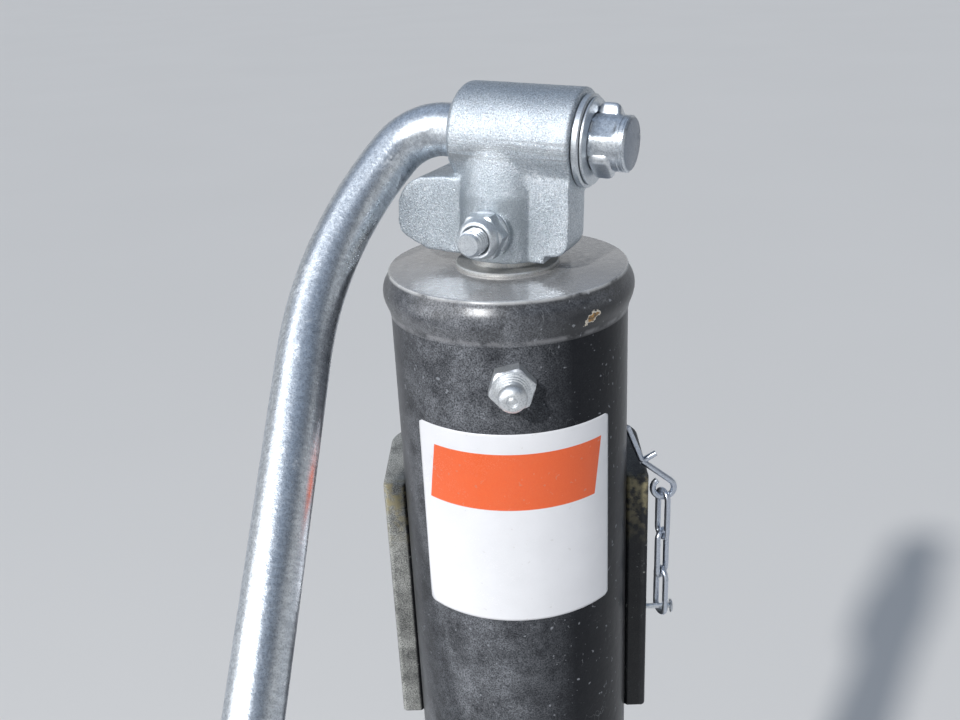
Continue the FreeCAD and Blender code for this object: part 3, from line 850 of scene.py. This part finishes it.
# Two plain steel washers, zinc plated, lie loose on the bar between the barrel's end and the
# ears: a wide one against the casting and a thin one outside it.
wide_outline = [(6.5, 18.15), (10.1, 18.15), (10.3, 18.35), (10.3, 19.45), (9.9, 19.75),
                (6.5, 19.75)]
thin_outline = [(6.5, 19.9), (9.5, 19.9), (9.6, 20.0), (9.6, 20.35), (9.4, 20.5), (6.5, 20.5)]
on_end = on_handle @ tipped(90, "Y")
washers = joined("end_washers", turned("wide_washer", wide_outline, on_end, 128),
                 turned("thin_washer", thin_outline, on_end, 128))
washers.data.materials.append(satin_zinc)
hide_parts("handle_washers")
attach(washers, "handle")

# The grip is a black moulded sleeve that turns freely on the bar's end, ribbed for the hand.
# A pressed steel disc, riveted over the bar's end, keeps it on.
grip_outline = [(6.5, 0.3), (15.5, 0.3), (16.0, 0.8), (16.0, 3.8), (15.5, 4.3), (13.3, 4.3)]
rib_start, rib_pitch, rib_count = 7.0, 5.2, 16
# (radius, height over the rib's start)
rib_outline = [(12.0, -0.4), (12.9, 0.0), (13.0, 0.6), (13.0, 2.6), (12.9, 3.2), (12.0, 3.6)]
for i in range(rib_count):
    grip_outline += [(r, rib_start + rib_pitch * i + h) for r, h in rib_outline]
grip_outline += [(12.6, 91.2), (12.2, 92.0), (11.6, 92.3), (6.5, 92.3)]
new_black, worn_black = (0.016, 0.016, 0.017), (0.030, 0.030, 0.031)
grip_dust = (0.26, 0.24, 0.21)
out_of_wrist = grip_end - heading * grip_pin
on_grip = (on_handle @ Matrix.Translation(out_of_wrist)
           @ heading.to_track_quat("Z", "Y").to_matrix().to_4x4())
grip = turned("grip_sleeve", grip_outline, on_grip, 96)
grip_finish, tree, shader = finish_of("grip_plastic", Metallic=0.0)
place_on = surface_place(tree)
grime = mask_of(tree, dust_and_lit_side, Place=place_on, Upright=0.12, Lying=0.3, Specks=0.2)
worn = blotch(tree, place_on, 90.0, 0.4, 0.7)
give(tree, shader, Base_Color=ramp(tree, grime, ramp(tree, worn, new_black, worn_black), grip_dust),
     Roughness=ramp(tree, worn, 0.42, 0.62))
raised(tree, shader, waves(tree, place_on, 1400.0, 2.0), 0.06)
grip.data.materials.append(grip_finish)
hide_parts("handle_grip")
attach(grip, "handle")

disc_outline = [(0, 93.0), (9.2, 93.0), (9.5, 93.3), (9.45, 93.9), (8.6, 94.6), (4.2, 94.75),
                (3.6, 94.4), (0, 94.3)]
disc = turned("grip_disc", disc_outline, on_grip, 96, closed=False)
disc.data.materials.append(bright_zinc)
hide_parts("grip_cap")
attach(disc, "handle")

# The leg is a zinc-plated tube that slides inside the outer tube, worn bright in streaks.
# It is welded to a foot plate with turned-up sides and rounded corners.
leg_radius, leg_low, leg_high, _ = tube_size("leg_tube")
leg_wall, leg_bevel, foot_ease = 3.0, 0.4, 0.6
leg_outline = [(leg_radius - leg_wall, leg_low), (leg_radius, leg_low),
               (leg_radius, leg_high - leg_bevel), (leg_radius - leg_bevel, leg_high),
               (leg_radius - leg_wall, leg_high)]
leg = turned("leg_shell", leg_outline, on_axis, 192)
leg_zinc = zinc("leg_zinc", (0.66, 0.68, 0.72), rough=0.30, grain=600.0, grain_depth=0.03,
                cloudy=0.8)[0]
leg.data.materials.append(leg_zinc)
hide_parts("leg_tube")
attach(leg, "leg")

foot = eased("foot_dish", "foot_plate", foot_ease)
foot.data.materials.append(leg_zinc)
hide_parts("foot_plate")
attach(foot, "leg")

weld_out, weld_rise, weld_thick = 0.6, 0.9, 2.2
weld_steps, weld_sides, weld_ripples, ripple_depth, ripple_drift = 300, 14, 46, 0.07, 0.1


def bead(name, radius, height, thick, place):
    """A weld bead round a tube, laid in small overlapping ripples."""
    rings = []
    for k in range(weld_steps):
        a = 2 * math.pi * k / weld_steps
        out, onward = Vector((math.cos(a), math.sin(a), 0)), Vector((-math.sin(a), math.cos(a), 0))
        swell = ripple_depth * math.cos(a * weld_ripples) + ripple_drift * noise.noise(out * 4)
        rings.append(ring_on(out * radius + Vector((0, 0, height)), onward, out,
                             thick * (1 + swell), weld_sides))
    return skinned(name, rings, place, True, 60.0)


leg_weld = bead("foot_weld", leg_radius + weld_out, leg_low + weld_rise, weld_thick, on_axis)
leg_weld.data.materials.append(leg_zinc)
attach(leg_weld, "leg")

# The spring clip is hard zinc-plated wire, bent to a hook with a ring, pushed over the
# saddle's right wall. A short chain of welded wire links keeps it with the jack, on a rivet
# through the saddle's side.
wire_radius, wire_sides = 0.8, 20
clip_y = axis_y + 4.0
clip_fall = math.radians(38.4)
clip_inset, clip_clear = 1.5, 0.3
clip_arm, clip_ring, clip_ring_turn = 9.55, 2.8, math.radians(285.0)
tail_bend, tail_back, tail_out = 0.9, Vector((-3.9, 0, 10.0)), Vector((3.6, 0, 2.2))
saddle_side, saddle_top = saddle_box[1].x / MM, saddle_box[1].z / MM
clip_rise = (wire_radius + clip_clear + clip_inset * math.sin(clip_fall)) / math.cos(clip_fall)
clip_bend = Vector((saddle_side - clip_inset, clip_y, saddle_top + clip_rise))
clip_zinc = zinc("clip_zinc", (0.62, 0.67, 0.76), rough=0.30, grain=900.0,
                 grain_depth=0.02)[0]


def wire_of(name, line, closed):
    """Round wire along a fine line of points, closed into a loop or with its ends cut."""
    rings, side = [], None
    for k, p in enumerate(line):
        before = line[k - 1] if closed or k else line[0]
        after = line[(k + 1) % len(line)] if closed or k + 1 < len(line) else line[-1]
        heading = (after - before).normalized()
        if side is None:
            side = heading.orthogonal().normalized()
        side = (side - heading * side.dot(heading)).normalized()
        rings.append(ring_on(p, heading, side, wire_radius, wire_sides))
    return skinned(name, rings, Matrix(), closed)


def rounded_path(corners, radius, steps=8):
    """A line through the corners, each one rounded by an arc of about that radius."""
    line = [corners[0]]
    for before, at, after in zip(corners, corners[1:], corners[2:]):
        into, out = (at - before).normalized(), (after - at).normalized()
        back = min(radius * math.tan(into.angle(out) / 2), (at - before).length / 2,
                   (after - at).length / 2)
        for k in range(steps + 1):
            t = k / steps
            line.append((at - into * back) * (1 - t) ** 2 + at * 2 * t * (1 - t)
                        + (at + out * back) * t ** 2)
    return line + [corners[-1]]


arm_end = clip_bend + Vector((math.cos(clip_fall), 0, -math.sin(clip_fall))) * clip_arm
ring_centre = arm_end - Vector((math.sin(clip_fall), 0, math.cos(clip_fall))) * clip_ring
spoke = arm_end - ring_centre
loop = [clip_bend + (arm_end - clip_bend) * k / 4 for k in range(4)]
loop += [ring_centre + Matrix.Rotation(clip_ring_turn * k / 40, 3, "Y") @ spoke
         for k in range(41)]
tail = rounded_path([clip_bend + tail_back, clip_bend, clip_bend + tail_out], tail_bend)
clip = joined("wire_clip", wire_of("clip_loop", loop, False), wire_of("clip_tail", tail, False))
clip.data.materials.append(clip_zinc)
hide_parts("spring_clip")
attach(clip, "root")

link_radius, link_straight, link_gap, link_turns = 2.2, 9.6, 0.22, (25.0, -40.0, 25.0)
low = ring_centre - Vector((0, 0, clip_ring))
links = []
for number, turn in enumerate(link_turns):
    top = low + Vector((0, 0, 2 * wire_radius + link_gap))
    face = Vector((math.cos(math.radians(turn)), math.sin(math.radians(turn)), 0))
    aside = Vector((0, 0, 1)).cross(face)
    line = []
    for sign, drop in ((1, link_radius), (-1, link_radius + link_straight)):
        for k in range(17):
            a = math.pi * k / 16
            line.append(top - Vector((0, 0, drop))
                        + (aside * math.cos(a) + Vector((0, 0, math.sin(a)))) * sign * link_radius)
    links.append(wire_of("link_%d" % number, line, True))
    low = top - Vector((0, 0, 2 * link_radius + link_straight))
chain = joined("keeper_links", *links)
chain.data.materials.append(clip_zinc)
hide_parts("keeper_chain")
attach(chain, "root")

rivet_rise = 1.72
rivet_outline = [(0, 0), (0.7, 0), (0.7, 6.8), (1.7, 6.8), (1.9, 7.0), (1.75, 7.35), (1.1, 7.58),
                 (0, 7.6)]
on_side = Matrix.Translation((saddle_side, clip_y, low.z + rivet_rise)) @ tipped(90, "Y")
stud = turned("chain_rivet", rivet_outline, on_side, 48, closed=False)
stud.data.materials.append(bright_zinc)
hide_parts("chain_stud")
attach(stud, "root")

# The label is a square of glossy white vinyl stuck round the tube's front, under the fitting.
# It carries a plain orange block on white, without lettering, and has rounded corners.
label_radius, label_half, label_corner = tube_radius + 0.09, math.radians(50.7), 1.2
label_top, label_foot, label_thick = 65.4, 14.9, 0.08
label_columns, label_rows = 96, 96
block_half, block_low, block_high, block_middle, block_lean = 0.0215, 0.0457, 0.0603, 0.053, 0.16
print_softness = 0.00006
orange, deep_orange = (0.88, 0.15, 0.040), (0.84, 0.12, 0.030)
white, dull_white, label_dust = (0.86, 0.86, 0.88), (0.80, 0.80, 0.82), (0.35, 0.33, 0.30)

points, faces = [], []
half_width = label_half * label_radius
for k in range(label_rows + 1):
    z = label_foot + (label_top - label_foot) * k / label_rows
    edge = min(z - label_foot, label_top - z)
    cut = max(0.0, label_corner - edge)
    inset = label_corner - math.sqrt(max(0.0, label_corner ** 2 - cut ** 2))
    for i in range(label_columns + 1):
        a = (2 * i / label_columns - 1) * (half_width - inset) / label_radius
        points.append((label_radius * math.sin(a), -label_radius * math.cos(a), z))
for k in range(label_rows):
    for i in range(label_columns):
        a = k * (label_columns + 1) + i
        faces.append((a, a + 1, a + label_columns + 2, a + label_columns + 1))
label = solid_of("label_sheet", points, faces, on_axis)
thick = label.modifiers.new("thick", "SOLIDIFY")
thick.thickness = label_thick * MM
thick.offset = -1.0

label_finish, tree, shader = finish_of("label_vinyl", Metallic=0.0)
place_on = surface_place(tree)
parts = parts_of(tree, place_on)
to_front = math_of(tree, "SUBTRACT", axis_y * MM, parts["Y"])
round_tube = product(tree, math_of(tree, "ARCTAN2", parts["X"], to_front), label_radius * MM)


def within(tree, value, low, high):
    """1 between two bounds and 0 outside, with a printed edge's softness."""
    over = ranged(tree, math_of(tree, "SUBTRACT", value, low), -print_softness, print_softness)
    under = ranged(tree, math_of(tree, "SUBTRACT", high, value), -print_softness, print_softness)
    return product(tree, over, under)


lean = product(tree, math_of(tree, "SUBTRACT", parts["Z"], block_middle), block_lean)
block = product(tree, within(tree, math_of(tree, "SUBTRACT", round_tube, lean),
                             -block_half, block_half),
                within(tree, parts["Z"], block_low, block_high))
printed = ramp(tree, blotch(tree, place_on, 2500.0, 0.2, 0.8, 2.0), deep_orange, orange)
paper = ramp(tree, blotch(tree, place_on, 60.0, 0.3, 0.7), white, dull_white)
grime = mask_of(tree, dust_and_lit_side, Place=place_on, Upright=0.05, Lying=0.1, Specks=0.25)
give(tree, shader, Base_Color=ramp(tree, grime, ramp(tree, block, paper, printed), label_dust),
     Roughness=ramp(tree, grime, 0.26, 0.6))
raised(tree, shader, waves(tree, place_on, 180.0, 2.0), 0.05)
label.data.materials.append(label_finish)
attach(label, "root")
